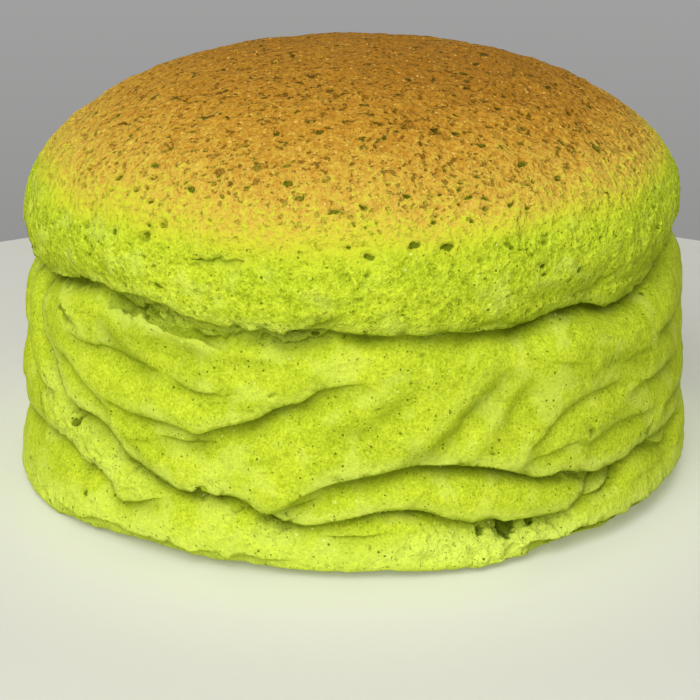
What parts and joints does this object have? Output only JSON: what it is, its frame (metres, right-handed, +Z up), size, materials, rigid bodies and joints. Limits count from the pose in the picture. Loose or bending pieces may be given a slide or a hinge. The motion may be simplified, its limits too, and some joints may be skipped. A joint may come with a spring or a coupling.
{
  "type": "jiggly cheesecake",
  "caption": "Tall round souffle cheesecake with a browned domed crown, a crease under the crown and soft slumped folds down its green side.",
  "frame": {"origin": "centre of the flat underside, on the table", "axes": "+Z up out of the crown, the folded front faces -Y, +X to the right of the front"},
  "size_m": [0.1502, 0.1502, 0.0905],
  "materials": {
    "sponge": "soft matte green sponge, fine open crumb, with a golden brown skin over the crown"
  },
  "bodies": {
    "root": {"cake": "sponge"}
  },
  "joints": []
}
